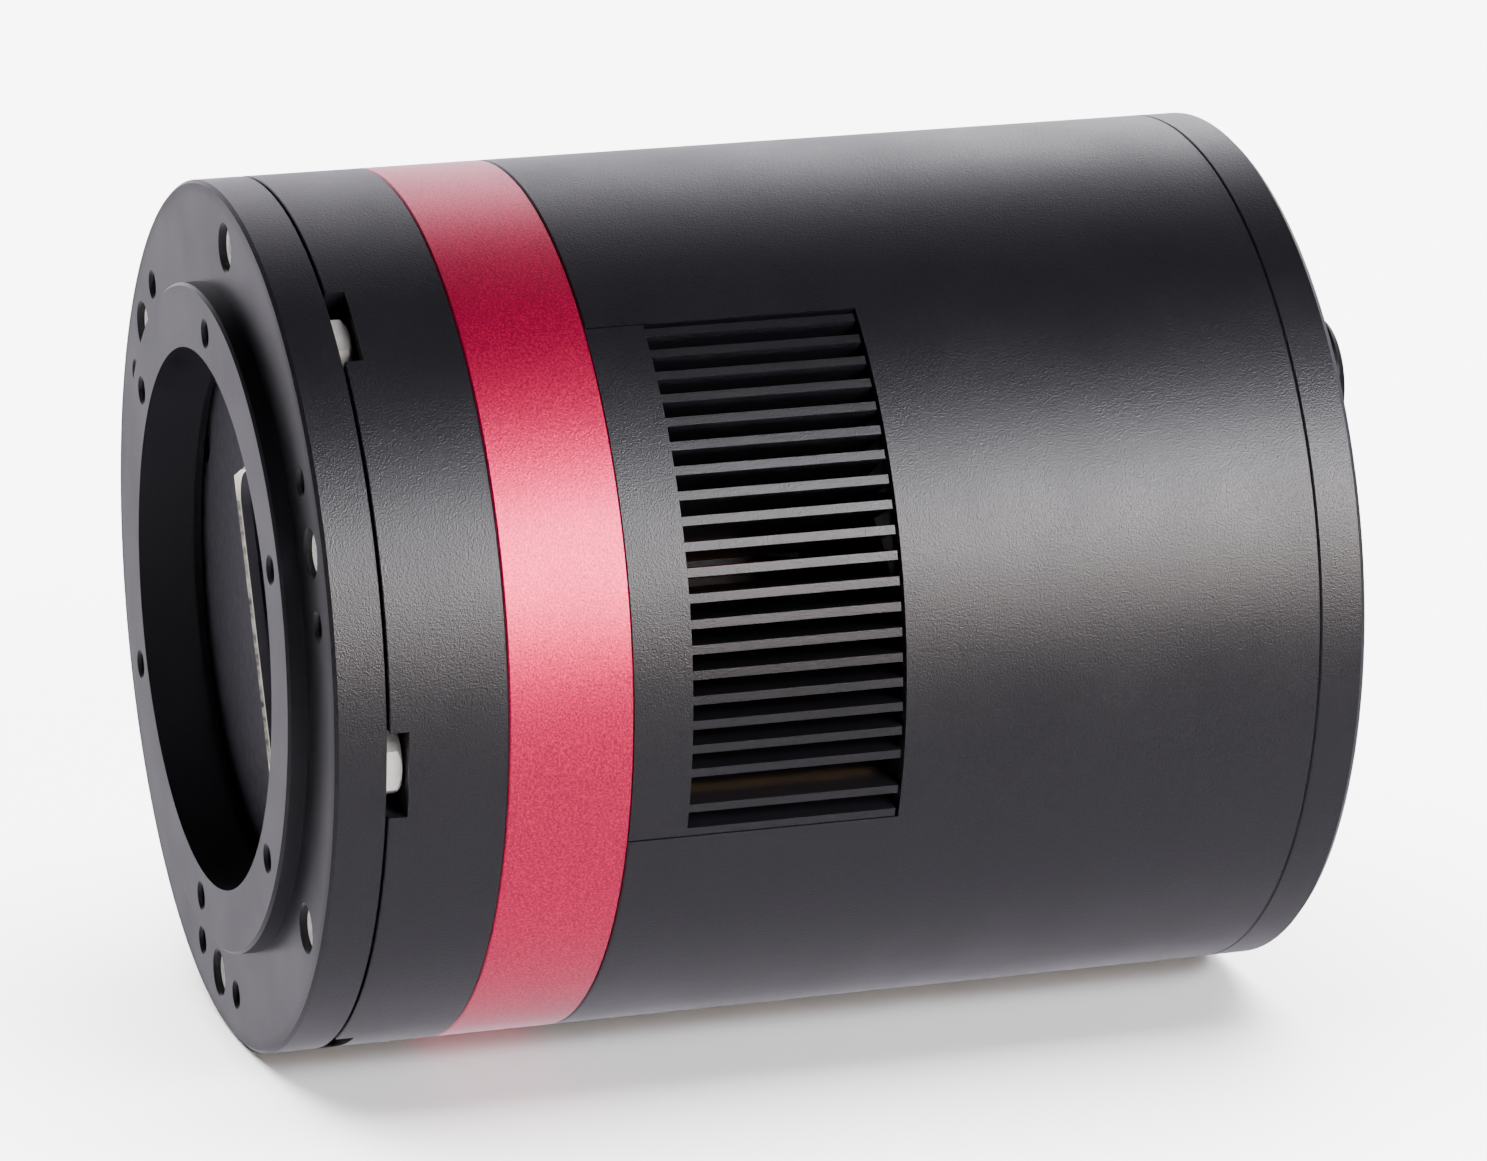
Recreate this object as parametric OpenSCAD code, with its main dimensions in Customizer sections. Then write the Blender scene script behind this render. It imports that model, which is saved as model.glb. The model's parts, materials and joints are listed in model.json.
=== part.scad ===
// Cooled astronomy camera, in millimetres.
// The origin is the centre of the front mounting face. +Y runs back along the optical axis and +Z is up.
// Every module draws its piece round the local Z axis, with z counted back from the mounting face,
// and laid() turns it onto +Y. Angles about the axis are counted from +X towards +Z.

/* [Body] */
// Outside diameter of the body
body_d = 90; // [88:1:92]
// Distance from the mounting face to the back face
body_l = 110.25; // [108:0.25:114]
// Wall of the outer tube
tube_wall = 2.4; // [2:0.1:2.8]
// Roll of the bolt pattern and the sensor about the optical axis
clock = 24; // [0:1:29]

/* [Front plate] */
// Diameter of the raised mounting boss
boss_d = 69.2; // [66:0.2:70]
// Height of the boss above the flange
boss_h = 2; // [1.5:0.1:2.5]
// Thickness of the flange
plate_t = 5.2; // [5:0.1:6]
// Diameter of the optical bore
bore_d = 56; // [52:0.5:57]
// Pitch circle of the boss's tapped holes
boss_pcd = 62; // [61:0.5:63]
// Pitch circle of the flange's screws
flange_pcd = 80; // [79:0.5:81]
// Open seam that lets the plate tilt
seam = 0.3; // [0.25:0.05:0.4]

/* [Red band] */
// Distance from the mounting face to the band
band_z = 19.6; // [19.2:0.1:21]
// Width of the band
band_w = 12.85; // [11:0.05:13]

/* [Vents] */
// Angle of the middle of the first vent
vent_mid = 15.95; // [14:0.05:18]
// Arc that each vent covers
vent_arc = 69.4; // [69:0.1:70]
// Thickness of a fin
fin_t = 0.9; // [0.7:0.1:1]
// Angle between fins
fin_step = 3.256; // [3.2:0.001:3.27]
// Length of the fins
fin_l = 21.9; // [18:0.1:24]

/* [Back] */
// Angle of the middle port
ports_mid = 88; // [84:1:92]
// Thickness of the back cover
cover_t = 5; // [4:0.5:6]
// Distance of the fan's axis from the optical axis
fan_offset = 8; // [8:0.5:9]

/* [Hidden] */
$fn = 96;
R = body_d / 2;
boss_r = boss_d / 2;
bore_r = bore_d / 2;
seam_z = boss_h + plate_t;
house_z = seam_z + seam;
base_z = band_z + band_w;
base_t = 6.05;
fin_z = base_z + base_t;
vent_end_z = fin_z + fin_l + 0.4;
tube_z = base_z + 0.05;
cover_z = body_l - cover_t;
tube_r = R - tube_wall;
six = [0 : 60 : 300];
four = [0 : 90 : 270];

pull_r = flange_pcd / 2;      // the pull screws and the jack screws share one circle
spare_a = 10.3;               // angle from a pull screw to each spare hole beside it
m3_tap_r = 1.25;
pull_head_r = 2.25;
pull_head_z = boss_h + 0.7;
pull_head_h = 2.5;
pull_seat_z = pull_head_z + pull_head_h;
jack_af = 7;                  // across flats
jack_head_h = 1.95;
jack_shank_r = 2;
slot_w = 9;
slot_h = jack_head_h;
seal_groove = [33.1, 35.2];
frame_r = 32.4;
frame_z = house_z + 0.1;
frame_t = 1.4;
frame_screw_r = 30.4;
opening = [20.5, 32];         // light opening, across and along the sensor
glass_r = 24.4;
glass_z = frame_z + frame_t;
glass_t = 2.1;
lip_z = glass_z + glass_t + 0.1;
cavity_r = 27;
cavity_z = lip_z + 2.2;
sensor_z = 17.5;              // light-sensitive plane, the back focus of the camera
board_z = sensor_z + 2.4;
board_t = 1.6;
pillar_r = 24.6;
finger_z = board_z + 2.9;
tec_z = finger_z + 2.7;
hot_z = tec_z + 3.2;
hot_h = base_z - hot_z;
ribbon_x = -25;
wire_x = 24.6;
wire_y = 3;
sink_screw_a = 60;
sink_screw_r = 37;
plug_a = 189;
plug_z = 14.6;
plug_head = [42.4, 44.6];     // distance of the head's two faces from the optical axis
rod_gap = [-14.5, -18.0];     // angles of the last two fins, past the gap for the rod
rod_a = vent_mid - 27.9;
rod_pos_r = 39.5;
rod_r = 1.15;
main_z = 70;
io_z = 90;
post_r = 2.2;
fan_w = 40;
fan_t = 10;
fan_z = cover_z - fan_t;
fan_bore_r = 19;
fan_hole = 16;
air_r = 17;
usb_r = 31;
dc_a = ports_mid + 38;
dc_r = 29;
wheel_a = ports_mid - 38;
wheel_r = 27;
wheel_shell_r = 7;
light_a = ports_mid + 58;
light_r = 30;
eps = 0.01;

black = [0.07, 0.07, 0.08];
steel = [0.75, 0.76, 0.78];
brass = [0.72, 0.55, 0.25];
copper = [0.72, 0.43, 0.26];
board_green = [0.05, 0.2, 0.12];
rubber = [0.03, 0.03, 0.03];

// Names jack_screw_1 to jack_screw_6 are the jack screws in order of angle.

// ---- placing ----

module laid() rotate([-90, 0, 0]) children();

// At angle a about the axis, r out from it and z back.
module at(a, r, z = 0) rotate([0, 0, -a]) translate([r, 0, z]) children();

// Local x and y along and across the sensor's short side.
module clocked() rotate([0, 0, -clock]) children();

// Local z points straight out from the optical axis.
module radially(a, z) rotate([0, 0, -a]) translate([0, 0, z]) rotate([0, 90, 0]) children();

module at_fan() rotate([0, 0, -(ports_mid + 180)]) translate([fan_offset, 0, 0]) children();

module at_fan_holes() at_fan() for (x = [-1, 1], y = [-1, 1])
    translate([x * fan_hole, y * fan_hole, 0]) children();

module at_rods(z = 0) for (a = four) at(rod_a + a, rod_pos_r, z) children();

// ---- shapes ----

module rod(r, z0, z1) translate([0, 0, z0]) cylinder(r = r, h = z1 - z0);

module ring(ro, ri, z0, z1) difference() {
    rod(ro, z0, z1);
    rod(ri, z0 - 1, z1 + 1);
}

// A disc with its two rims chamfered by c0 and c1.
module disc(r, z0, z1, c0, c1) rotate_extrude()
    polygon([[0, z0], [r - c0, z0], [r, z0 + c0], [r, z1 - c1], [r - c1, z1], [0, z1]]);

module cone(r0, r1, z0, z1) translate([0, 0, z0]) cylinder(r1 = r0, r2 = r1, h = z1 - z0);

module hexagon(af, z0, z1) translate([0, 0, z0]) rotate([0, 0, 30])
    cylinder(r = af / sqrt(3), h = z1 - z0, $fn = 6);

module block(w, l, z0, z1) translate([-w / 2, -l / 2, z0]) cube([w, l, z1 - z0]);

module rounded_block(w, l, r, z0, z1) {
    block(w - 2 * r, l, z0, z1);
    block(w, l - 2 * r, z0, z1);
    for (x = [-1, 1], y = [-1, 1]) translate([x * (w / 2 - r), y * (l / 2 - r), 0]) rod(r, z0, z1);
}

module torus(major, minor, z) rotate_extrude() translate([major, z]) circle(r = minor, $fn = 32);

// A wedge from angle a0 to a1, at most 120 degrees wide.
module wedge(a0, a1, z0, z1) translate([0, 0, z0]) linear_extrude(z1 - z0)
    polygon([[0, 0], for (i = [0 : 3]) let (a = -(a0 + (a1 - a0) * i / 3)) 2 * R * [cos(a), sin(a)]]);

// The two vents, each trimmed by trim degrees at its ends.
module vents(trim, z0, z1) for (half = [0, 180])
    wedge(half + vent_mid - vent_arc / 2 + trim, half + vent_mid + vent_arc / 2 - trim, z0, z1);

// A tapped hole with a small countersink at its mouth, going back from z0.
module tapped(r, z0, depth) {
    rod(r, z0 - eps, z0 + depth);
    cone(r + 0.35, r, z0 - eps, z0 + 0.35);
}

// A countersunk screw whose flat head ends at z, with its shank going forward.
module flat_screw(head_r, shank_r, z, length) difference() {
    union() {
        cone(shank_r, head_r, z - (head_r - shank_r) - 0.2, z - 0.2);
        rod(head_r, z - 0.2 - eps, z);
        rod(shank_r, z - length, z - 1);
    }
    hexagon(head_r * 0.95, z - 0.9, z + 1);
}

module flat_screw_hole(head_r, shank_r, z0, z1) {
    rod(shank_r, z0 - 1, z1 + 1);
    cone(shank_r, head_r, z1 - (head_r - shank_r) - 0.25, z1 - 0.25);
    rod(head_r, z1 - 0.25 - eps, z1 + 1);
}

module ribbon_slot(z0, z1) clocked() translate([ribbon_x, 0, 0]) block(1.3, 11.4, z0, z1);

module wire_holes(z0, z1) clocked() for (y = [-1, 1]) translate([wire_x, y * wire_y, 0]) rod(1, z0, z1);

// ---- front plate and its tilt adjusters ----

module front_plate() color(black) difference() {
    rotate_extrude() polygon([[bore_r - 2, 0], [boss_r - 0.3, 0], [boss_r, 0.3], [boss_r, boss_h],
        [R - 0.35, boss_h], [R, boss_h + 0.35], [R, seam_z - 0.08], [R - 0.08, seam_z], [bore_r - 2, seam_z]]);
    rod(bore_r, -1, seam_z + 1);
    ring(bore_r + 1.5, bore_r - 1, seam_z - 1.2, seam_z + 1);
    ring(seal_groove[1], seal_groove[0], seam_z - 0.8, seam_z + 1);
    for (a = six) {
        at(clock + a, boss_pcd / 2) tapped(m3_tap_r, 0, 5.5);
        at(clock + a, pull_r) {
            rod(pull_head_r + 0.1, boss_h - 1, pull_seat_z);
            cone(pull_head_r + 0.35, pull_head_r + 0.1, boss_h - eps, boss_h + 0.25);
            rod(1.35, 0, seam_z + 1);
        }
        at(clock + 30 + a, pull_r) rod(jack_shank_r + 0.05, seam_z - 4, seam_z + 1);
    }
    for (a = [0, 120, 240], side = [-1, 1]) at(clock + a + side * spare_a, pull_r) {
        tapped(m3_tap_r, boss_h, plate_t + 1);
    }
}

module plate_screws() color(steel) for (a = six) at(clock + a, pull_r) difference() {
    union() {
        disc(pull_head_r, pull_head_z, pull_seat_z, 0.2, eps);
        rod(1.2, pull_seat_z - 1, house_z + 6.4);
    }
    hexagon(2, pull_head_z - 1, pull_head_z + 1.3);
}

module jack_screw(i) color(steel) at(clock + 30 + 60 * i, pull_r) {
    intersection() {
        hexagon(jack_af, seam_z + 0.05, seam_z + 0.05 + jack_head_h);
        disc(jack_af / sqrt(3), seam_z, seam_z + 0.05 + jack_head_h, 0.1, 0.6);
    }
    rod(jack_shank_r, seam_z - 3.7, seam_z + 0.2);
}

module tilt_seal() color(rubber)
    torus((seal_groove[0] + seal_groove[1]) / 2, 0.7, seam_z + seam / 2);

// ---- front housing and the sealed chamber ----

module jack_slot() {
    // Open to the side of the housing, with round inner corners.
    corner = 2;
    inner = pull_r - 4.4;
    top = house_z + slot_h;
    translate([inner + corner, -slot_w / 2, house_z - 1]) cube([R, slot_w, top - house_z + 1]);
    translate([inner, -slot_w / 2 + corner, house_z - 1])
        cube([R, slot_w - 2 * corner, top - house_z + 1]);
    for (s = [-1, 1]) translate([inner + corner, s * (slot_w / 2 - corner), 0])
        rod(corner, house_z - 1, top);
}

module front_housing() color(black) difference() {
    union() {
        disc(R, house_z, band_z, 0.1, 0.15);
        rod(R - 1.8, band_z - 1, base_z - 0.05);
    }
    rod(frame_r + 0.2, house_z - 1, glass_z);
    rod(glass_r + 0.2, glass_z - 1, lip_z);
    ring(23.4, 21.6, lip_z - 1, lip_z + 1.2);
    rod(20.5, lip_z - 1, cavity_z + 1);
    rod(cavity_r, cavity_z, base_z + 1);
    ring(seal_groove[1], seal_groove[0], house_z - 1, house_z + 0.8);
    for (a = six) {
        at(clock + a, pull_r) rod(1.35, house_z - 1, house_z + 7.5);
        at(clock + 30 + a, 0) jack_slot();
    }
    for (a = four) {
        at(clock + 45 + a, frame_screw_r) rod(0.85, house_z, glass_z + 4);
        at(clock + 45 + a, pillar_r) rod(1.05, cavity_z - 1.4, cavity_z + 1);
        at(sink_screw_a + a, sink_screw_r) rod(1.3, base_z - 8.5, base_z + 1);
    }
    radially(plug_a, plug_z) {
        rod(3.05, cavity_r - 1, R);
        rod(4.6, plug_head[0] - 1.2, R + 1);
    }
}

module window_frame() color([0.2, 0.2, 0.21]) difference() {
    disc(frame_r, frame_z, glass_z, 0.2, 0.2);
    clocked() {
        rounded_block(opening[0], opening[1], 3, frame_z - 1, glass_z + 1);
        rounded_block(opening[0] + 0.5, opening[1] + 0.5, 3.25, frame_z - 1, frame_z + 0.3);
    }
    for (a = four) at(clock + 45 + a, frame_screw_r) {
        rod(1.05, frame_z - 1, glass_z + 1);
        cone(1.85, 1.05, frame_z - eps, frame_z + 0.8);
    }
}

module window_frame_screws() color(steel) for (a = four) at(clock + 45 + a, frame_screw_r) difference() {
    union() {
        cone(1.75, 0.8, frame_z + 0.05, frame_z + 1);
        rod(0.8, frame_z + 0.9, glass_z + 3.8);
    }
    block(0.4, 2.2, frame_z - 1, frame_z + 0.45);
    block(2.2, 0.4, frame_z - 1, frame_z + 0.45);
}

module window_glass() color([0.6, 0.75, 0.8, 0.4]) disc(glass_r, glass_z, glass_z + glass_t, 0.2, 0.2);

module window_seal() color(rubber) torus(22.5, 0.64, lip_z + 0.55);

module sensor_package() color([0.25, 0.24, 0.24]) clocked() difference() {
    block(26, 34, sensor_z - 0.5, board_z);
    block(19.6, 27.6, sensor_z - 1, sensor_z + 0.6);
}

module sensor_die() color([0.1, 0.12, 0.2]) clocked() block(17.2, 25.1, sensor_z, sensor_z + 0.6);

module sensor_cover_glass() color([0.7, 0.8, 0.85, 0.4]) clocked()
    block(22, 30, sensor_z - 1.3, sensor_z - 0.5);

module sensor_board() color(board_green) difference() {
    rod(26.4, board_z, board_z + board_t);
    clocked() block(14.6, 18.6, board_z - 1, board_z + board_t + 1);
    for (a = four) at(clock + 45 + a, pillar_r) rod(1.1, board_z - 1, board_z + board_t + 1);
}

module sensor_pillars() color([0.9, 0.9, 0.86]) for (a = four) at(clock + 45 + a, pillar_r)
    ring(1.95, 1.1, cavity_z, board_z);

module sensor_screws() color(steel) for (a = four) at(clock + 45 + a, pillar_r) difference() {
    union() {
        rod(1, cavity_z - 1.2, board_z + board_t + 0.5);
        disc(1.8, board_z + board_t, board_z + board_t + 1.2, eps, 0.3);
    }
    block(0.4, 2.4, board_z + board_t + 0.7, board_z + board_t + 2);
}

module cold_finger() color(copper) clocked() {
    block(14, 18, board_z, finger_z + 1);
    block(30, 30, finger_z, tec_z);
}

// Two ceramic plates with an n by n grid of pellets between them.
module tec(w, n, z0, z1, plate) clocked() {
    block(w, w, z0, z0 + plate);
    block(w, w, z1 - plate, z1);
    step = (w - 4) / n;
    for (i = [0 : n - 1], j = [0 : n - 1])
        translate([(i - (n - 1) / 2) * step, (j - (n - 1) / 2) * step, 0])
            block(step * 0.5, step * 0.5, z0 + plate - eps, z1 - plate + eps);
}

module cold_tec() color([0.93, 0.93, 0.9]) tec(30, 7, tec_z, hot_z, 0.7);

module hot_tec() color([0.93, 0.93, 0.9]) tec(34, 7, hot_z, base_z, 0.8);

module insulation_foam() color([0.12, 0.12, 0.13]) difference() {
    rod(cavity_r - 0.4, finger_z + 0.2, base_z - 0.05);
    clocked() block(36, 36, finger_z - 1, base_z + 1);
    ribbon_slot(finger_z - 1, base_z + 1);
    clocked() for (y = [-1, 1]) translate([(wire_x + 17) / 2, y * wire_y, 0])
        block(wire_x - 17 + 2, 2, hot_z + 0.8, base_z + 1);
}

module red_band() color([0.75, 0.05, 0.15]) difference() {
    disc(R, band_z + 0.05, base_z - 0.05, 0.15, 0.15);
    rod(R - 1.78, band_z - 1, base_z + 1);
}

// ---- desiccant plug ----

module desiccant_plug() color([0.8, 0.8, 0.82]) radially(plug_a, plug_z) difference() {
    union() {
        rod(3, 28, plug_head[0] + 0.5);
        disc(4.4, plug_head[0], plug_head[1], eps, 0.4);
    }
    rod(2.2, 27, 40);
    hexagon(3, plug_head[1] - 1.6, plug_head[1] + 1);
}

module desiccant_seal() color(rubber) radially(plug_a, plug_z) torus(3.78, 0.58, plug_head[0] - 0.6);

module desiccant_tablets() color([0.95, 0.6, 0.25]) radially(plug_a, plug_z)
    for (i = [0 : 2]) disc(2.17, 28.4 + 3.8 * i, 32.1 + 3.8 * i, 0.4, 0.4);

// ---- heat sink and outer tube ----

fin_angles = concat([for (i = [0 : 18]) vent_mid + 33.25 - i * fin_step], rod_gap);

module fin() translate([30, -fin_t / 2, fin_z - 1]) cube([R - 30 + 1, fin_t, fin_l + 1]);

module fins() intersection() {
    rod(R - 0.03, base_z, fin_z + fin_l);
    for (half = [0, 180], a = fin_angles) at(half + a, 0) fin();
}

module heat_sink() color(black) difference() {
    union() {
        rod(tube_r - 0.2, base_z, fin_z);
        intersection() {
            ring(R - 0.02, tube_r - 2, base_z, fin_z);
            vents(0.2, base_z - 1, fin_z + 1);
        }
        fins();
        clocked() for (i = [-5 : 5]) translate([i * 3.4, 0, 0]) block(1.1, 40, fin_z - 1, fin_z + 16);
    }
    ribbon_slot(base_z - 1, fin_z + 1);
    wire_holes(base_z - 1, fin_z + 1);
    at_rods() rod(rod_r + 0.05, fin_z - 3.5, fin_z + 1);
    for (a = four) at(sink_screw_a + a, sink_screw_r) {
        rod(1.7, base_z - 1, fin_z + 1);
        rod(2.95, fin_z - 3.1, fin_z + 1);
    }
}

module heat_sink_screws() color(steel) for (a = four) at(sink_screw_a + a, sink_screw_r) difference() {
    union() {
        rod(1.25, base_z - 7, fin_z - 2);
        disc(2.75, fin_z - 3.1, fin_z - 0.1, eps, 0.25);
    }
    hexagon(2.5, fin_z - 1.6, fin_z + 1);
}

module tie_rods() color(brass) at_rods() {
    rod(rod_r, fin_z - 3.3, main_z + board_t);
    rod(2.1, main_z - 4, main_z);
}

module body_tube() color(black) difference() {
    rotate_extrude() polygon([[tube_r, tube_z], [R - 0.15, tube_z], [R, tube_z + 0.15],
        [R, cover_z - 0.2], [R - 0.15, cover_z - 0.05], [tube_r, cover_z - 0.05]]);
    vents(0, tube_z - 1, vent_end_z);
}

// ---- circuit boards and what joins them ----

module air_hole(r, z) at_fan() rod(r, z - 1, z + board_t + 1);

module main_board() color(board_green) difference() {
    rod(tube_r - 0.8, main_z, main_z + board_t);
    air_hole(air_r, main_z);
    at_rods(main_z) rod(rod_r + 0.1, -1, board_t + 1);
}

module main_board_chips() color([0.08, 0.08, 0.09]) {
    top = main_z + board_t;
    at(ports_mid, 24) block(17, 17, top, top + 1.6);
    for (s = [-1, 1]) at(ports_mid + s * 42, 29) block(13, 9, top, top + 1.1);
    for (s = [-1, 1]) at(ports_mid + s * 95, 32) block(6, 6, top, top + 2.8);
    for (i = [0 : 5]) at(ports_mid - 25 + 10 * i, 37.6) block(2, 1.2, top, top + 0.8);
    for (s = [-1, 1]) at(ports_mid + s * 12, 25) block(7, 7, main_z - 1.2, main_z);
}

module mid_standoffs() color(brass) at_rods() difference() {
    hexagon(post_r * 1.74, main_z + board_t, io_z);
    rod(rod_r + 0.05, io_z - 4, io_z + 1);
}

module interface_board() color(board_green) difference() {
    rod(tube_r - 0.8, io_z, io_z + board_t);
    air_hole(fan_bore_r, io_z);
    at_rods(io_z) rod(rod_r + 0.1, -1, board_t + 1);
}

module interface_parts() color([0.15, 0.15, 0.16]) {
    for (s = [-1, 1]) at(ports_mid + s * 95, 33.5) disc(4, io_z - 5, io_z, 0.5, eps);
    for (s = [-1, 1]) at(ports_mid + s * 120, 34.5) block(7, 7, io_z - 4, io_z);
    for (i = [0 : 4]) at(ports_mid - 22 + 11 * i, 22) block(2.2, 3.4, io_z - 1.2, io_z);
}

module rear_standoffs() color(brass) at_rods() difference() {
    union() {
        hexagon(post_r * 1.74, io_z + board_t, cover_z);
        rod(rod_r, io_z - 3.5, io_z + board_t + 1);
    }
    rod(1.25, cover_z - 8, cover_z + 1);
}

module ribbon_cable() color([0.85, 0.6, 0.2]) clocked() translate([ribbon_x, 0, 0])
    block(0.3, 10, board_z + board_t, main_z);

module tec_wire(side) clocked() translate([wire_x, side * wire_y, 0]) {
    wire_z = hot_z + 1.8;
    rod(0.6, wire_z, main_z);
    translate([0, 0, wire_z]) sphere(r = 0.6, $fn = 32);
    translate([15.3 - wire_x, 0, wire_z]) rotate([0, 90, 0]) rod(0.6, 0, wire_x - 15.3);
}

module fan_lead() color([0.7, 0.1, 0.1]) at_fan() for (y = [8.4, 10])
    translate([-18.3, y, 0]) rod(0.5, io_z + board_t, fan_z);

// ---- fan ----

module fan_frame() color([0.06, 0.06, 0.06]) at_fan() difference() {
    union() {
        difference() {
            rounded_block(fan_w, fan_w, 3, fan_z, cover_z);
            rod(fan_bore_r, fan_z - 1, cover_z + 1);
        }
        for (a = [45 : 90 : 315]) rotate([0, 0, a]) translate([0, -1.2, fan_z]) cube([fan_bore_r + 1, 2.4, 1.3]);
        rod(9.5, fan_z, fan_z + 1.3);
        rod(2.6, fan_z + 1, fan_z + 6.2);
    }
    rod(1.55, fan_z + 0.3, fan_z + 8);
    for (x = [-1, 1], y = [-1, 1]) translate([x * fan_hole, y * fan_hole, 0]) rod(1.75, fan_z - 1, cover_z + 1);
}

module fan_stator() color(copper) at_fan() {
    ring(5, 2.65, fan_z + 1.5, fan_z + 5.8);
    for (a = four) rotate([0, 0, a]) {
        translate([4.5, -1.5, fan_z + 1.8]) cube([3, 3, 3.6]);
        intersection() {
            ring(8.3, 7, fan_z + 1.8, fan_z + 5.4);
            translate([6, -4, fan_z + 1]) cube([4, 8, 6]);
        }
    }
}

module fan_bearing() color(brass) at_fan() ring(1.54, 1.04, fan_z + 0.4, fan_z + 6.1);

// One blade, leaning back.
module blade() intersection() {
    ring(18.4, 10.6, fan_z + 2.4, cover_z - 0.9);
    translate([0, 0, fan_z + 5.75]) rotate([46, 0, 0]) translate([9, -9, -0.45]) cube([12, 18, 0.9]);
}

module fan_rotor() color([0.05, 0.05, 0.05]) at_fan() {
    rod(1, fan_z + 0.7, fan_z + 8);
    difference() {
        disc(11.2, fan_z + 2.1, cover_z - 0.7, 0.3, 0.6);
        rod(9.6, fan_z + 1, fan_z + 7.4);
    }
    for (i = [0 : 6]) rotate([0, 0, 9 + i * 360 / 7]) blade();
}

module fan_screws() color(steel) at_fan_holes() flat_screw(2.8, 1.45, body_l, 12);

// ---- back cover and ports ----

// Slots of the fan grille: rings cut by four spokes, round a closed middle.
module grille(z0, z1) at_fan() difference() {
    for (r = [7, 11.2, 15.4]) ring(r + 2.9, r, z0, z1);
    for (a = [0, 45, 90, 135]) rotate([0, 0, a]) block(2.4, 2 * R, z0 - 1, z1 + 1);
}

// Outline of a USB 3 type B socket, grown by g.
module usb_outline(g) {
    w = 6.05 + g;
    v = 3.8 + g;
    polygon([[-6 - g, w], [2.2, w], [4 + g, w - 1.8], [4 + g, v], [6.5 + g, v],
        [6.5 + g, -v], [4 + g, -v], [4 + g, 1.8 - w], [2.2, -w], [-6 - g, -w]]);
}

module usb_prism(g, z0, z1) at(ports_mid, usb_r, z0) linear_extrude(z1 - z0) usb_outline(g);

module rear_cover() color(black) difference() {
    union() {
        disc(R, cover_z, body_l, 0.15, 0.6);
        ring(tube_r - 0.1, tube_r - 0.7, cover_z - 2, cover_z + 0.5);
    }
    grille(cover_z - 1, body_l + 1);
    at_rods() flat_screw_hole(2.35, 1.4, cover_z, body_l);
    at_fan_holes() flat_screw_hole(2.9, 1.6, cover_z, body_l);
    usb_prism(0.25, cover_z - 1, body_l + 1);
    at(dc_a, dc_r) rod(5.55, cover_z - 1, body_l + 1);
    at(wheel_a, wheel_r) rod(wheel_shell_r + 0.05, cover_z - 1, body_l + 1);
    at(light_a, light_r) rod(1.05, cover_z - 1, body_l + 1);
}

module rear_cover_screws() color(steel) at_rods() flat_screw(2.3, 1.2, body_l, 9);

module usb_shell() color(steel) difference() {
    usb_prism(0, io_z + board_t, body_l + 0.7);
    usb_prism(-0.5, io_z + board_t + 3.5, body_l + 2);
}

module usb_tongue() color([0.1, 0.25, 0.7]) at(ports_mid, usb_r) {
    translate([-1.4, 0, 0]) block(3.2, 5.8, io_z + board_t + 3.5, body_l - 0.6);
    translate([4.6, 0, 0]) block(1.2, 6, io_z + board_t + 3.5, body_l - 0.6);
}

module dc_collar() color(steel) at(dc_a, dc_r) difference() {
    union() {
        disc(5.5, cover_z - 1.2, body_l + 4.2, eps, 0.4);
        intersection() {
            hexagon(13.5, body_l, body_l + 1.8);
            disc(7.6, body_l - 1, body_l + 1.8, eps, 0.5);
        }
    }
    rod(4.3, cover_z - 2, body_l + 6);
}

module dc_body() color([0.05, 0.05, 0.05]) at(dc_a, dc_r) difference() {
    rod(4.25, io_z + board_t, body_l + 3.8);
    rod(2.85, cover_z - 1.5, body_l + 5);
}

module dc_pin() color(steel) at(dc_a, dc_r) disc(1, cover_z - 1.5, body_l + 2.4, eps, 0.4);

module wheel_socket_shell() color([0.1, 0.1, 0.1]) at(wheel_a, wheel_r) difference() {
    union() {
        disc(wheel_shell_r, cover_z - 1.2, body_l + 6, eps, 0.8);
        intersection() {
            hexagon(16, body_l, body_l + 1.6);
            disc(9, body_l - 1, body_l + 1.6, eps, 0.5);
        }
    }
    rod(5.2, cover_z - 2, body_l + 7);
}

module wheel_socket_insert() color([0.04, 0.04, 0.04]) at(wheel_a, wheel_r) difference() {
    rod(5.18, cover_z - 1.2, body_l + 1);
    for (a = four) rotate([0, 0, a]) translate([2.4, 0, 0]) rod(0.5, cover_z - 3, body_l + 2);
}

module wheel_socket_pins() color([0.85, 0.7, 0.3]) at(wheel_a, wheel_r) for (a = four)
    rotate([0, 0, a]) translate([2.4, 0, 0]) disc(0.49, io_z + board_t, body_l + 4.4, eps, 0.2);

module status_light() color([0.8, 0.1, 0.1]) at(light_a, light_r) disc(1, io_z + board_t, body_l + 0.2, eps, 0.2);

laid() front_plate();
laid() plate_screws();
for (i = [0 : 5]) laid() jack_screw(i);
laid() tilt_seal();
laid() front_housing();
laid() window_frame();
laid() window_frame_screws();
laid() window_glass();
laid() window_seal();
laid() sensor_package();
laid() sensor_die();
laid() sensor_cover_glass();
laid() sensor_board();
laid() sensor_pillars();
laid() sensor_screws();
laid() cold_finger();
laid() cold_tec();
laid() hot_tec();
laid() insulation_foam();
laid() red_band();
laid() desiccant_plug();
laid() desiccant_seal();
laid() desiccant_tablets();
laid() heat_sink();
laid() heat_sink_screws();
laid() tie_rods();
laid() body_tube();
laid() main_board();
laid() main_board_chips();
laid() mid_standoffs();
laid() interface_board();
laid() interface_parts();
laid() rear_standoffs();
laid() rear_cover();
laid() rear_cover_screws();
laid() fan_frame();
laid() fan_stator();
laid() fan_bearing();
laid() fan_rotor();
laid() fan_screws();
laid() usb_shell();
laid() usb_tongue();
laid() dc_collar();
laid() dc_body();
laid() dc_pin();
laid() wheel_socket_shell();
laid() wheel_socket_insert();
laid() wheel_socket_pins();
laid() status_light();
laid() ribbon_cable();
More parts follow.
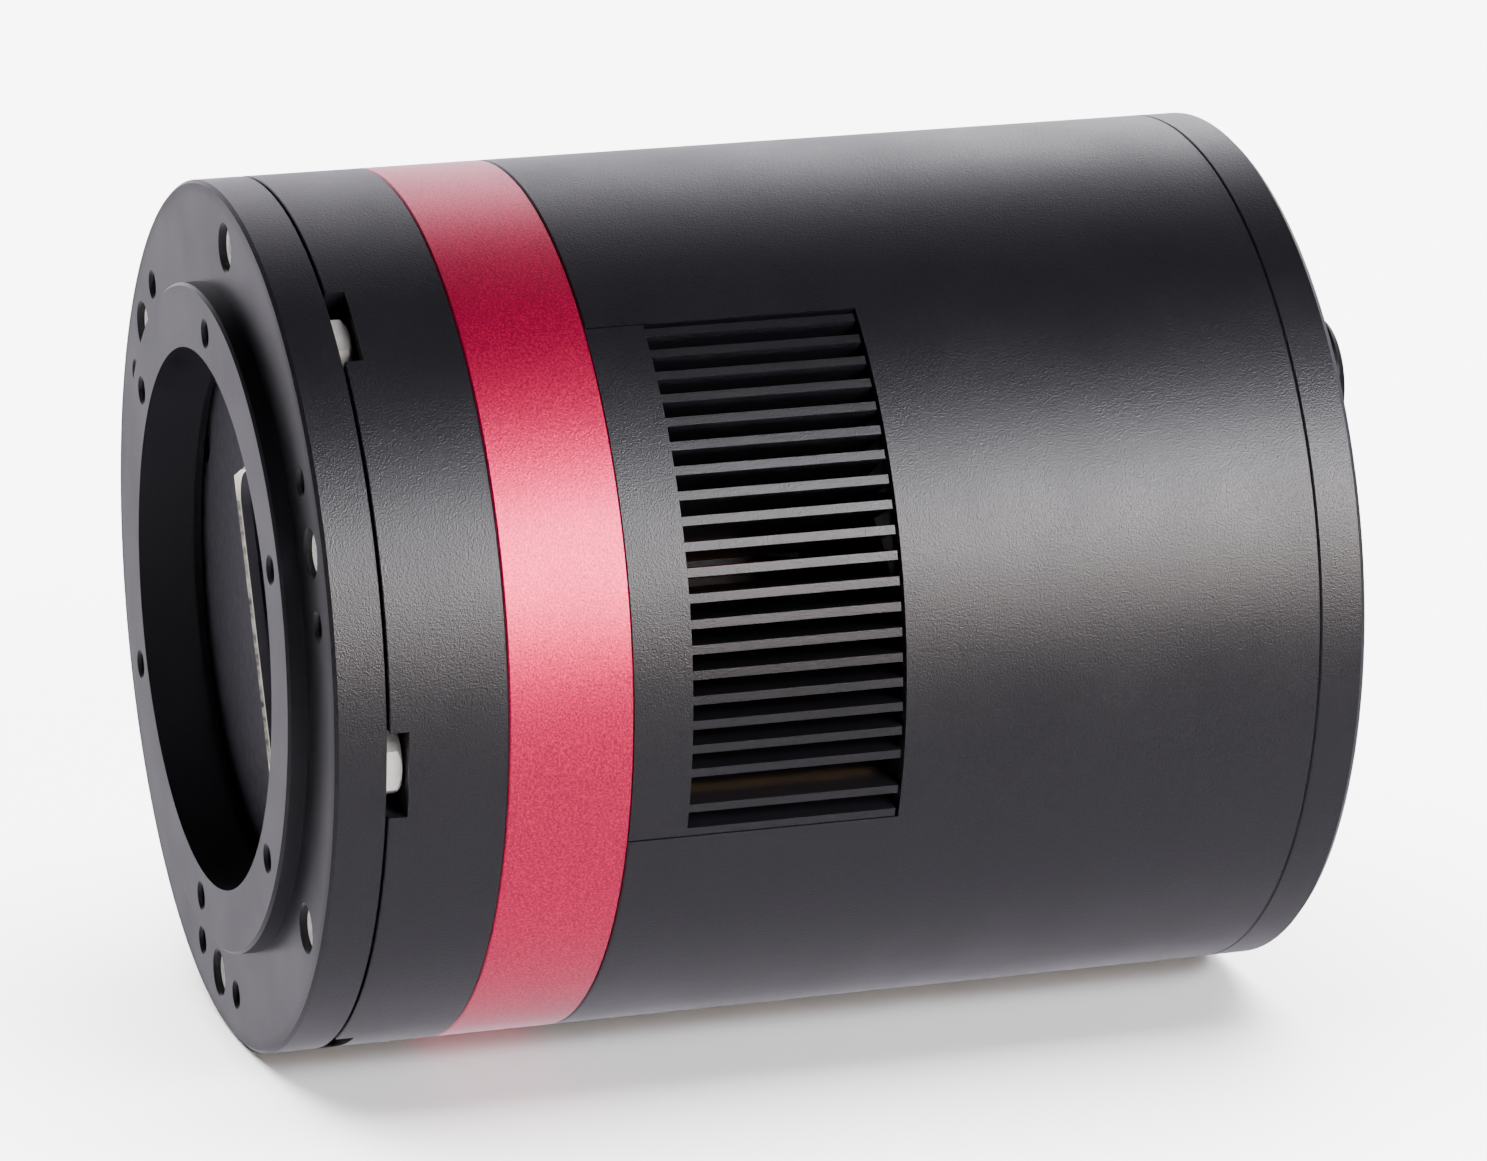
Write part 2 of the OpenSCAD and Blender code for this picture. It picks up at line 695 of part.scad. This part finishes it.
laid() color([0.7, 0.1, 0.1]) tec_wire(1);  // tec_wire_red
laid() color([0.05, 0.05, 0.05]) tec_wire(-1);  // tec_wire_black
laid() fan_lead();
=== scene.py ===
"""Looks of a cooled astronomy camera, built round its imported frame. Lengths are in metres.

+Y runs back along the optical axis from the mounting face, and +Z is up. Angles about the axis
are in degrees, counted from +X towards +Z.
"""
import json
import math

import bpy
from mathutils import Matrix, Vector


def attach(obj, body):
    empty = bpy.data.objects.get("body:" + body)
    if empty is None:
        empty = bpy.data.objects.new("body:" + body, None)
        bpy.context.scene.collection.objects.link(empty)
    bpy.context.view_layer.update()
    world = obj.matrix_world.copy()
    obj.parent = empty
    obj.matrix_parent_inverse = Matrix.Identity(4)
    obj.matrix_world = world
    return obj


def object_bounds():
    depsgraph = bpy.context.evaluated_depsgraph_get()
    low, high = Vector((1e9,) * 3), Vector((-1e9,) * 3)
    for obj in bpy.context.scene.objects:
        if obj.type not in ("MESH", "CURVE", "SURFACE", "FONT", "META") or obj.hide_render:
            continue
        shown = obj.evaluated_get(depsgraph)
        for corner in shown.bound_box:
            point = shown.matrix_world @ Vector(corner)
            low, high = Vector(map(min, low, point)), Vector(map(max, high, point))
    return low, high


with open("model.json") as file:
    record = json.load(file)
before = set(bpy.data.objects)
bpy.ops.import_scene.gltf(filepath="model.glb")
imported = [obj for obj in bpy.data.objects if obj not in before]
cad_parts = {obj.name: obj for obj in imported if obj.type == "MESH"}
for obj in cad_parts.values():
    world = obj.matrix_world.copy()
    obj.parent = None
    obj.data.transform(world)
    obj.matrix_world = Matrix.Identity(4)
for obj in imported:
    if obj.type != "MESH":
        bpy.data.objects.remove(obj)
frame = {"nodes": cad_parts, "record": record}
cad_box = [list(v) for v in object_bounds()]
nodes = frame["nodes"]

MM = 0.001
CLOCK = 24  # the six-hole pattern and the sensor are turned by this, in degrees
SKIN = 44.4 * MM  # cylinders past this radius are shaded as true cylinders
GRAIN_FROM, GRAIN_FULL = 43.4 * MM, 44.2 * MM  # the blasted grain sets in between these radii
WINDOW = (10.25 * MM, 16 * MM)  # half sides of the opening in the window's frame
CHIP = (7.85 * MM, 11.75 * MM)  # half sides of the sensor's light-sensitive area

# Sockets of the Mix node, which has one set for each type of data.
MIX_FACTOR = 0
MIX_VECTORS, VECTOR_OUT = (4, 5), 1
MIX_COLOURS, COLOUR_OUT = (6, 7), 2


# ---- materials ----


class Finish:
    """A Principled material with a node graph for its grain, its roughness and its colour."""

    def __init__(self, name):
        self.material = bpy.data.materials.new(name)
        self.material.use_nodes = True
        self.tree = self.material.node_tree
        self.shader = self.tree.nodes["Principled BSDF"]
        self.place = self.node("ShaderNodeTexCoord").outputs["Object"]
        self.normal = None

    def node(self, kind, **settings):
        made = self.tree.nodes.new(kind)
        for key, value in settings.items():
            setattr(made, key, value)
        return made

    def link(self, out, into):
        self.tree.links.new(out, into)

    def set(self, **values):
        for key, value in values.items():
            self.shader.inputs[key.replace("_", " ")].default_value = value
        return self

    def noise(self, scale, detail=2.0, stretch=None):
        """A noise's value. scale is in cycles a metre."""
        made = self.node("ShaderNodeTexNoise")
        made.inputs["Scale"].default_value = scale
        made.inputs["Detail"].default_value = detail
        if stretch:
            mapping = self.node("ShaderNodeMapping")
            mapping.inputs["Scale"].default_value = stretch
            self.link(self.place, mapping.inputs["Vector"])
            self.link(mapping.outputs["Vector"], made.inputs["Vector"])
        else:
            self.link(self.place, made.inputs["Vector"])
        return made.outputs["Fac"]

    def cells(self, scale):
        """The distance to the middle of the nearest cell, for beads and grit."""
        made = self.node("ShaderNodeTexVoronoi")
        made.inputs["Scale"].default_value = scale
        self.link(self.place, made.inputs["Vector"])
        return made.outputs["Distance"]

    def spread(self, value, low, high, start=0.3, end=0.7):
        """Maps start to end onto low to high. Most of a noise lies between 0.3 and 0.7."""
        made = self.node("ShaderNodeMapRange")
        made.inputs["From Min"].default_value = start
        made.inputs["From Max"].default_value = end
        made.inputs["To Min"].default_value = low
        made.inputs["To Max"].default_value = high
        self.link(value, made.inputs["Value"])
        return made.outputs["Result"]

    def two_tone(self, amount, low, high):
        """The base colour: low where amount is 0, high where it is 1."""
        made = self.node("ShaderNodeMix", data_type="RGBA")
        for socket, shade in zip(MIX_COLOURS, (low, high)):
            made.inputs[socket].default_value = (*shade, 1)
        self.link(amount, made.inputs[MIX_FACTOR])
        self.link(made.outputs[COLOUR_OUT], self.shader.inputs["Base Color"])

    def colour(self, value, low, high):
        """A base colour that drifts from low to high with a noise's value."""
        self.two_tone(self.spread(value, 0, 1), low, high)

    def rough(self, value, low, high):
        self.link(self.spread(value, low, high), self.shader.inputs["Roughness"])

    def math(self, operation, first, second=None):
        made = self.node("ShaderNodeMath", operation=operation)
        for socket, value in zip(made.inputs, (first, second)):
            if isinstance(value, (int, float)):
                socket.default_value = value
            elif value is not None:
                self.link(value, socket)
        return made.outputs["Value"]

    def axes(self):
        """The place's X, Y and Z."""
        made = self.node("ShaderNodeSeparateXYZ")
        self.link(self.place, made.inputs["Vector"])
        return made.outputs

    def radius(self):
        """The distance from the optical axis, in metres."""
        x, _, z = self.axes()
        squares = self.math("ADD", self.math("MULTIPLY", x, x), self.math("MULTIPLY", z, z))
        return self.math("SQRT", squares)

    def true_round(self, start, nearly=0.992):
        """Past start metres from the optical axis, a true cylinder's normal replaces the mesh's
        where the cosine of the angle between the two is more than nearly."""
        flat = self.node("ShaderNodeVectorMath", operation="MULTIPLY")
        self.link(self.place, flat.inputs[0])
        flat.inputs[1].default_value = (1, 0, 1)
        out = self.node("ShaderNodeVectorMath", operation="NORMALIZE")
        self.link(flat.outputs["Vector"], out.inputs[0])
        world = self.node("ShaderNodeVectorTransform", vector_type="NORMAL", convert_from="OBJECT",
                          convert_to="WORLD")
        self.link(out.outputs["Vector"], world.inputs["Vector"])
        mesh = self.node("ShaderNodeNewGeometry").outputs["Normal"]
        along = self.node("ShaderNodeVectorMath", operation="DOT_PRODUCT")
        self.link(world.outputs["Vector"], along.inputs[0])
        self.link(mesh, along.inputs[1])
        near = self.math("GREATER_THAN", along.outputs["Value"], nearly)
        both = self.math("MULTIPLY", near, self.math("GREATER_THAN", self.radius(), start))
        mixed = self.node("ShaderNodeMix", data_type="VECTOR")
        self.link(both, mixed.inputs[MIX_FACTOR])
        for socket, normal in zip(MIX_VECTORS, (mesh, world.outputs["Vector"])):
            self.link(normal, mixed.inputs[socket])
        self.normal = mixed.outputs[VECTOR_OUT]

    def between(self, value, low, high, low_value, high_value):
        """low_value up to low, then a blend to high_value at high."""
        return self.spread(value, low_value, high_value, low, high)

    def bump(self, value, depth, strength=1.0):
        """Raises the surface by up to depth metres. strength may be a socket."""
        made = self.node("ShaderNodeBump")
        if isinstance(strength, float):
            made.inputs["Strength"].default_value = strength
        else:
            self.link(strength, made.inputs["Strength"])
        made.inputs["Distance"].default_value = depth
        self.link(value, made.inputs["Height"])
        if self.normal:
            self.link(self.normal, made.inputs["Normal"])
        self.normal = made.outputs["Normal"]
        self.link(self.normal, self.shader.inputs["Normal"])


def scaled(colour, by):
    return tuple(c * by for c in colour)


def blasted(name, base, metallic, rough, depth, grain=7600, inner=0.12, **more):
    """Bead-blasted and anodised aluminium. The skin is rough with shallow craters and grit; the
    machined faces inside it are smoother, and inner is what is left of the grain there."""
    f = Finish(name).set(Metallic=metallic, **more)
    f.colour(f.noise(grain * 0.55, 3), scaled(base, 0.7), scaled(base, 1.4))
    skin = f.between(f.radius(), GRAIN_FROM, GRAIN_FULL, inner, 1.0)
    cloud = f.spread(f.noise(90, 4), rough - 0.03, rough + 0.03)
    f.link(f.math("SUBTRACT", cloud, f.math("MULTIPLY", f.math("SUBTRACT", 1.0, skin), 0.05)),
           f.shader.inputs["Roughness"])
    f.true_round(SKIN)
    f.bump(f.cells(grain), depth, skin)
    f.bump(f.noise(grain * 0.55, 2), depth * 1.4, skin)
    return f


def past_box(f, half_sides):
    """How far a place lies outside a rectangle that is turned with the sensor, in metres."""
    half_short, half_long = half_sides
    x, _, z = f.axes()
    c, s = math.cos(math.radians(CLOCK)), math.sin(math.radians(CLOCK))
    short = f.math("ADD", f.math("MULTIPLY", x, c), f.math("MULTIPLY", z, s))
    long = f.math("SUBTRACT", f.math("MULTIPLY", z, c), f.math("MULTIPLY", x, s))
    return f.math("MAXIMUM", f.math("SUBTRACT", f.math("ABSOLUTE", short), half_short),
                  f.math("SUBTRACT", f.math("ABSOLUTE", long), half_long))


def opening_frame(name, base):
    """The window's frame: satin, with a lighter, metal-coloured rim on its front face along the
    edge of its rectangular opening.
    """
    f = Finish(name).set(Metallic=0.25)
    past = past_box(f, WINDOW)
    # A lighter rim about 0.4 mm wide on the front face round the opening, its width varied by
    # noise.
    noisy_rim_distance = f.math("ADD", past, f.math("MULTIPLY", f.noise(900, 4), 0.25 * MM))
    front = f.between(f.axes()[1], 7.92 * MM, 7.98 * MM, 1.0, 0.0)
    light_rim = f.math("MULTIPLY", front, f.between(noisy_rim_distance, 0.34 * MM, 0.42 * MM, 1.0, 0.0))
    f.two_tone(light_rim, base, (0.62, 0.58, 0.52))
    f.rough(f.noise(800, 3), 0.42, 0.5)
    f.bump(f.noise(3500, 2), 4e-6, 0.5)
    return f


def chip(name):
    """The sensor: a deep blue light-sensitive area with a fine grain, inside a gold-grey border.
    """
    f = Finish(name).set(Coat_Weight=0.6, Coat_Roughness=0.04, Coat_IOR=1.9,
                         Coat_Tint=(0.7, 0.6, 1, 1))
    border = f.between(past_box(f, CHIP), -0.02 * MM, 0.02 * MM, 0.0, 1.0)
    f.two_tone(border, (0.012, 0.012, 0.03), (0.16, 0.13, 0.1))
    f.rough(f.noise(30, 2), 0.08, 0.14)
    f.bump(f.noise(9000, 1), 3e-7, 0.4)
    return f


def moulded(name, base, rough, depth=4e-6, grain=2500):
    """Rubber, ceramic, plastic, board or foam, with a fine uneven surface."""
    f = Finish(name)
    f.colour(f.noise(300, 3), scaled(base, 0.9), scaled(base, 1.12))
    f.rough(f.noise(500, 2), rough - 0.06, rough + 0.06)
    f.bump(f.noise(grain, 3), depth, 0.5)
    return f


def turned(name, base, rough):
    """Turned or plated metal, with the tool's marks across the optical axis."""
    f = Finish(name).set(Metallic=1.0)
    f.colour(f.noise(420, 4), scaled(base, 0.82), scaled(base, 1.06))
    f.rough(f.noise(900, 3), rough - 0.06, rough + 0.1)
    f.bump(f.noise(1500, 2, (1, 12, 1)), 1.5e-6, 0.6)
    return f


def plated(name, base):
    """Nickel plate over a milled part: bright and brushed, so that it never mirrors."""
    f = Finish(name).set(Metallic=0.75)
    f.colour(f.noise(420, 4), scaled(base, 0.8), scaled(base, 1.05))
    f.rough(f.noise(900, 3), 0.36, 0.5)
    f.bump(f.noise(2600, 2, (1, 0.12, 1)), 1.6e-5, 0.8)
    return f


def clear(name, tint, coating):
    """Coated glass, with faint smears."""
    f = Finish(name).set(Transmission_Weight=1.0, IOR=1.5, Specular_Tint=(*coating, 1))
    f.colour(f.noise(60, 2), scaled(tint, 0.97), tint)
    f.rough(f.noise(220, 4), 0.0, 0.03)
    return f


FINISHES = {
    "black_anodised": blasted("black_anodised", (0.0065, 0.006, 0.0082), 0.0, 0.36, 1.9e-5,
                              Specular_IOR_Level=0.58),
    "grey_anodised": opening_frame("grey_anodised", (0.045, 0.042, 0.052)),
    "red_anodised": blasted("red_anodised", (0.74, 0.001, 0.085), 0.86, 0.42, 1.6e-5,
                            Coat_Weight=0.9, Coat_Roughness=0.34, Coat_IOR=1.5),
    "black_screws": turned("black_screws", (0.1, 0.1, 0.105), 0.32),
    "stainless": turned("stainless", (0.62, 0.62, 0.63), 0.28),
    "nickel": plated("nickel", (0.92, 0.9, 0.86)),
    "seal_rubber": moulded("seal_rubber", (0.012, 0.012, 0.012), 0.7),
    "window_glass": clear("window_glass", (0.93, 0.97, 0.96), (0.5, 0.75, 1.0)),
    "sensor_ceramic": moulded("sensor_ceramic", (0.05, 0.048, 0.05), 0.6),
    "silicon": chip("silicon"),
    "white_ceramic": moulded("white_ceramic", (0.78, 0.77, 0.73), 0.6),
    "circuit_board": moulded("circuit_board", (0.012, 0.06, 0.03), 0.35),
    "nylon": moulded("nylon", (0.72, 0.7, 0.62), 0.45),
    "copper": turned("copper", (0.86, 0.42, 0.25), 0.34),
    "foam": moulded("foam", (0.02, 0.02, 0.02), 0.9, 4e-5, 1400),
    "brass": turned("brass", (0.72, 0.5, 0.2), 0.26),
    "gold": turned("gold", (0.9, 0.66, 0.27), 0.2),
    "black_plastic": moulded("black_plastic", (0.014, 0.014, 0.015), 0.45),
    "black_collar": turned("black_collar", (0.016, 0.016, 0.018), 0.5),
    "blue_plastic": moulded("blue_plastic", (0.008, 0.05, 0.32), 0.35),
    "red_light": moulded("red_light", (0.45, 0.01, 0.01), 0.15),
    "desiccant": moulded("desiccant", (0.75, 0.32, 0.06), 0.8, 2e-5),
    "polyimide": moulded("polyimide", (0.55, 0.26, 0.03), 0.25),
    "red_wire": moulded("red_wire", (0.4, 0.012, 0.012), 0.4),
    "black_wire": moulded("black_wire", (0.012, 0.012, 0.012), 0.4),
}
slot_of = {entry["node"]: entry["material_slot"] for entry in frame["record"]["subparts"]}
for name, node in nodes.items():
    material = FINISHES[slot_of[name]].material
    for held in node.material_slots:
        held.material = material

# ---- small pieces that the frame leaves plain ----


def place(angle, radius, y, sideways=0.0):
    """A point in metres. angle and radius are about the optical axis."""
    c, s = math.cos(math.radians(angle)), math.sin(math.radians(angle))
    return Vector((radius * c - sideways * s, y, radius * s + sideways * c))


def mesh(name, points, faces, slot, body, smooth=True):
    """A piece with a slot's finish, which moves with a body."""
    data = bpy.data.meshes.new(name)
    data.from_pydata([tuple(p) for p in points], [], faces)
    data.validate()
    for face in data.polygons:
        face.use_smooth = smooth
    made = bpy.data.objects.new(name, data)
    bpy.context.collection.objects.link(made)
    data.materials.append(FINISHES[slot].material)
    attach(made, body)
    return made


def threads(name, centres, start, end, wall=1.245 * MM, crest=1.02 * MM, pitch=0.5 * MM, steps=24):
    """An M3 V-thread wound on the wall of each hole in the front plate, from start to end."""
    points, faces = [], []
    for centre in centres:
        count = int((end - start - pitch) / pitch * steps)
        for i in range(count + 1):
            turn = 2 * math.pi * i / steps
            y = start + pitch * i / steps
            for radius, dy in ((wall, 0.0), (crest, 0.5 * pitch), (wall, 0.96 * pitch)):
                points.append(centre + Vector((radius * math.cos(turn), y + dy,
                                               radius * math.sin(turn))))
            if i < count:
                a = len(points) - 3
                faces += [(a + j, a + (j + 1) % 3, a + 3 + (j + 1) % 3, a + 3 + j)
                          for j in range(3)]
    mesh(name, points, faces, "black_anodised", "front_plate", smooth=False)


BOSS_PITCH_R = 31 * MM
FLANGE_PITCH_R = 40 * MM
SPARE_ANGLE = 10.3  # from a pull screw to the small tapped hole beside it

boss_holes = [place(CLOCK + 60 * i, BOSS_PITCH_R, 0) for i in range(6)]
flange_holes = [place(CLOCK + 120 * i + side * SPARE_ANGLE, FLANGE_PITCH_R, 0)
                for i in range(3) for side in (-1, 1)]
threads("boss_threads", boss_holes, 0.4 * MM, 5.4 * MM)
threads("flange_threads", flange_holes, 2.4 * MM, 7.1 * MM)


def wires(name, paths, radius, sides):
    """Round gold wires along paths of points, with closed ends."""
    points, faces = [], []
    for path in paths:
        first = len(points)
        for i, at in enumerate(path):
            along = (path[min(i + 1, len(path) - 1)] - path[max(i - 1, 0)]).normalized()
            across = along.cross(OFF_AXIS).normalized()
            up = along.cross(across)
            for k in range(sides):
                turn = 2 * math.pi * k / sides
                points.append(at + across * radius * math.cos(turn) + up * radius * math.sin(turn))
        for i in range(len(path) - 1):
            for k in range(sides):
                a, b = first + i * sides + k, first + i * sides + (k + 1) % sides
                faces.append((a, b, b + sides, a + sides))
        faces.append(tuple(first + k for k in reversed(range(sides))))
        faces.append(tuple(len(points) - sides + k for k in range(sides)))
    mesh(name, points, faces, "gold", "camera")


OFF_AXIS = Vector((0.31, 0.12, 0.94))  # along none of the wires
BOND_COUNT, BOND_PITCH = 34, 0.68 * MM
# Distance from the sensor's long middle line, and depth, in mm, from the chip to its package.
BOND_ARCH = ((8.35, 17.47), (8.5, 17.3), (8.8, 17.27), (9.1, 17.5), (9.35, 18.07))
USB_ANGLE, USB_RADIUS = 88, 29.6 * MM
CONTACT_COUNT, CONTACT_PITCH = 4, 1.3 * MM
TONGUE_HALF = 1.65 * MM  # from the tongue's middle to a contact

loops = [[place(CLOCK, side * u * MM, y * MM, -(i - (BOND_COUNT - 1) / 2) * BOND_PITCH)
          for u, y in BOND_ARCH]
         for side in (-1, 1) for i in range(BOND_COUNT)]
wires("bond_wires", loops, 0.025 * MM, 6)

strips = [[place(USB_ANGLE, USB_RADIUS + side * TONGUE_HALF, y * MM,
                 (i - (CONTACT_COUNT - 1) / 2) * CONTACT_PITCH)
           for y in (101.5, 104.0, 106.6, 109.1)]
          for i in range(CONTACT_COUNT) for side in (-1, 1)]
wires("usb_contacts", strips, 0.22 * MM, 8)

# ---- floor, lights and camera ----

low = min(corner[2] for corner in cad_box)
bpy.ops.mesh.primitive_plane_add(size=8, location=(0, 0, low - 0.0002))
floor = bpy.context.object
floor.name = "floor"
pale = Finish("floor")
pale.colour(pale.noise(3, 2), (0.86, 0.86, 0.86), (0.88, 0.88, 0.88))
pale.rough(pale.noise(5, 2), 0.75, 0.85)
floor.data.materials.append(pale.material)

AIM = Vector((0, 0.05835, -0.00091))


def toward(azimuth, elevation):
    """A unit vector from the object. azimuth is from +X towards -Y."""
    a, e = math.radians(azimuth), math.radians(elevation)
    return Vector((math.cos(e) * math.cos(a), -math.cos(e) * math.sin(a), math.sin(e)))


def looking(at, away):
    return (at - away).to_track_quat("-Z", "Y").to_euler()


def softbox(name, place, aim, size, power, colour=(1, 1, 1), glossy=True):
    data = bpy.data.lights.new(name, "AREA")
    data.shape = "RECTANGLE"
    data.size, data.size_y = size
    data.energy = power
    data.color = colour
    lamp = bpy.data.objects.new(name, data)
    bpy.context.collection.objects.link(lamp)
    lamp.location = place
    lamp.rotation_euler = looking(Vector(aim), Vector(place))
    lamp.visible_glossy = glossy
    return lamp


softbox("key_cool", (1.25, 0.84, 0.77), AIM, (0.85, 0.34), 29, (0.92, 0.93, 1.0))
softbox("key_warm", (1.45, 0.84, 0.40), AIM, (0.85, 0.36), 24, (1.0, 0.88, 0.82))
fill = softbox("floor_fill", (-0.5, 0.1, 2.2), (-0.2, 0.1, 0), (3.6, 3.6), 780, glossy=False)
lit = bpy.data.collections.new("lit_by_fill")
lit.objects.link(floor)
fill.light_linking.receiver_collection = lit
softbox("behind", (-1.25, 0.95, 0.5), AIM, (0.8, 0.4), 5, (0.96, 0.97, 1.0))
floor.visible_glossy = False


def studio():
    """A dim room with a pale wall behind the object and a pale table under it. The camera sees
    the floor, and shiny metal sees these."""
    made = bpy.data.worlds.new("studio")
    made.use_nodes = True
    tree = made.node_tree
    back = tree.nodes["Background"]
    place = tree.nodes.new("ShaderNodeTexCoord").outputs["Generated"]

    def facing(direction, start, end, level):
        dot = tree.nodes.new("ShaderNodeVectorMath")
        dot.operation = "DOT_PRODUCT"
        dot.inputs[1].default_value = direction
        tree.links.new(place, dot.inputs[0])
        ramp = tree.nodes.new("ShaderNodeMapRange")
        ramp.inputs["From Min"].default_value = start
        ramp.inputs["From Max"].default_value = end
        ramp.inputs["To Max"].default_value = level
        ramp.interpolation_type = "SMOOTHSTEP"
        tree.links.new(dot.outputs["Value"], ramp.inputs["Value"])
        return ramp.outputs["Result"]

    total = facing(Vector((0, 0, 1)), -2, -1.5, 0.012)
    for direction, start, end, level in (((-0.9, 0.35, 0.15), 0.62, 0.96, 1.7),
                                         ((0, 0, -1), 0.0, 0.8, 0.37),
                                         ((-0.85, -0.35, -0.25), 0.5, 0.95, 0.25),
                                         ((-0.7, 0.3, -0.6), 0.5, 0.95, 0.4)):
        add = tree.nodes.new("ShaderNodeMath")
        tree.links.new(total, add.inputs[0])
        tree.links.new(facing(Vector(direction).normalized(), start, end, level), add.inputs[1])
        total = add.outputs["Value"]
    tree.links.new(total, back.inputs["Strength"])
    back.inputs["Color"].default_value = (1, 0.95, 1.06, 1)
    return made


bpy.context.scene.world = studio()

lens = bpy.data.cameras.new("view")
lens.sensor_width = 36
lens.lens = 179.05
lens.clip_start = 0.01
camera = bpy.data.objects.new("view", lens)
bpy.context.collection.objects.link(camera)
camera.location = AIM + toward(18.037, 15.469) * 0.77674
camera.rotation_euler = looking(AIM, camera.location)
bpy.context.scene.camera = camera
